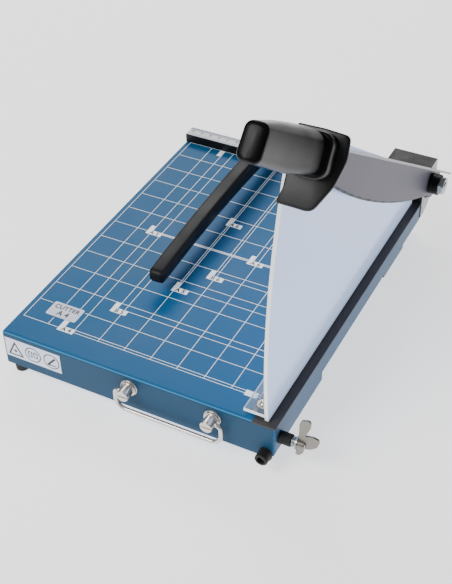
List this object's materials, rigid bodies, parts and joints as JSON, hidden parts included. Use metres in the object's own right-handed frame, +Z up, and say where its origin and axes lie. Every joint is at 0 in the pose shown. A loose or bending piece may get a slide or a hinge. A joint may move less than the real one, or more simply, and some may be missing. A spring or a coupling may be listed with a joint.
{
  "type": "guillotine paper cutter",
  "caption": "Desktop guillotine paper cutter with a steel table, side-pivoted curved blade arm, clear finger guard on a lever-operated clamp, and a carrying handle.",
  "frame": {"origin": "bottom centre of the whole machine's box, with the blade arm raised, on the surface it stands on", "axes": "+Z up, +X to the operator's right (the cutting edge is on the right), +Y away from the operator, so -Y is the front with the carrying handle"},
  "size_m": [0.2898, 0.4732, 0.3523],
  "materials": {
    "blue_enamel": "satin",
    "blued_steel": "satin",
    "black_enamel": "satin",
    "dark_casting": "satin",
    "zinc_steel": "satin",
    "nickel": "polished",
    "blade_steel": "satin",
    "rail_steel": "satin",
    "rubber": "matte",
    "black_plastic": "satin",
    "ruler_plastic": "gloss",
    "label_film": "gloss",
    "clear_acrylic": "gloss"
  },
  "bodies": {
    "base": {"table_plate": "blue_enamel", "lower_knife": "blued_steel", "knife_screws": "zinc_steel", "back_fence": "black_enamel", "fence_screws": "zinc_steel", "fence_ruler": "ruler_plastic", "pivot_bracket": "dark_casting", "bracket_bolts": "zinc_steel", "pivot_bolt": "zinc_steel", "pivot_bushing": "black_enamel", "pivot_spring_washer": "zinc_steel", "pivot_nut": "zinc_steel", "shaft_bearing": "black_enamel", "bearing_screw": "zinc_steel", "foot_front_left": "rubber", "foot_front_right": "rubber", "foot_back_left": "rubber", "foot_back_right": "rubber", "foot_screws": "zinc_steel", "front_bumper": "rubber", "bumper_screw": "zinc_steel", "name_plate": "label_film", "front_label": "label_film", "handle_post_left": "nickel", "handle_post_right": "nickel", "handle_washers": "nickel", "handle_nuts": "zinc_steel", "stop_bolt": "zinc_steel", "stop_sleeve": "rubber", "stop_spring": "zinc_steel", "stop_washers": "zinc_steel"},
    "blade_arm": {"blade": "blade_steel", "spine_rail": "rail_steel", "hand_shield": "black_plastic", "grip_body": "black_plastic", "grip_screws": "zinc_steel", "grip_cap": "black_plastic"},
    "hand_press": {"press_shaft": "zinc_steel", "shaft_clips": "zinc_steel", "press_lever": "black_enamel", "lever_grip": "black_plastic", "press_arm": "black_enamel", "press_bar": "rail_steel", "press_pad": "rubber", "guard_screws": "nickel", "press_arm_screw": "nickel", "finger_guard": "clear_acrylic"},
    "carry_handle": {"handle_bail": "nickel"},
    "stop_nut": {"wing_nut": "nickel"}
  },
  "joints": [
    {"name": "blade_swing", "type": "hinge", "parent": "base", "child": "blade_arm", "pos_m": [0.11354, 0.16792, 0.0654], "axis": [1, 0, 0], "range_deg": [-12, 38]},
    {"name": "press_lift", "type": "hinge", "parent": "base", "child": "hand_press", "pos_m": [0.01114, 0.17741, 0.0555], "axis": [-1, 0, 0], "range_deg": [0, 6]},
    {"name": "handle_swing", "type": "hinge", "parent": "base", "child": "carry_handle", "pos_m": [0.01734, -0.17539, 0.0352], "axis": [-1, 0, 0], "range_deg": [-14, 165]},
    {"name": "wing_nut_turn", "type": "hinge", "parent": "base", "child": "stop_nut", "pos_m": [0.13014, -0.15909, 0.0295], "axis": [1, 0, 0], "continuous": true}
  ]
}
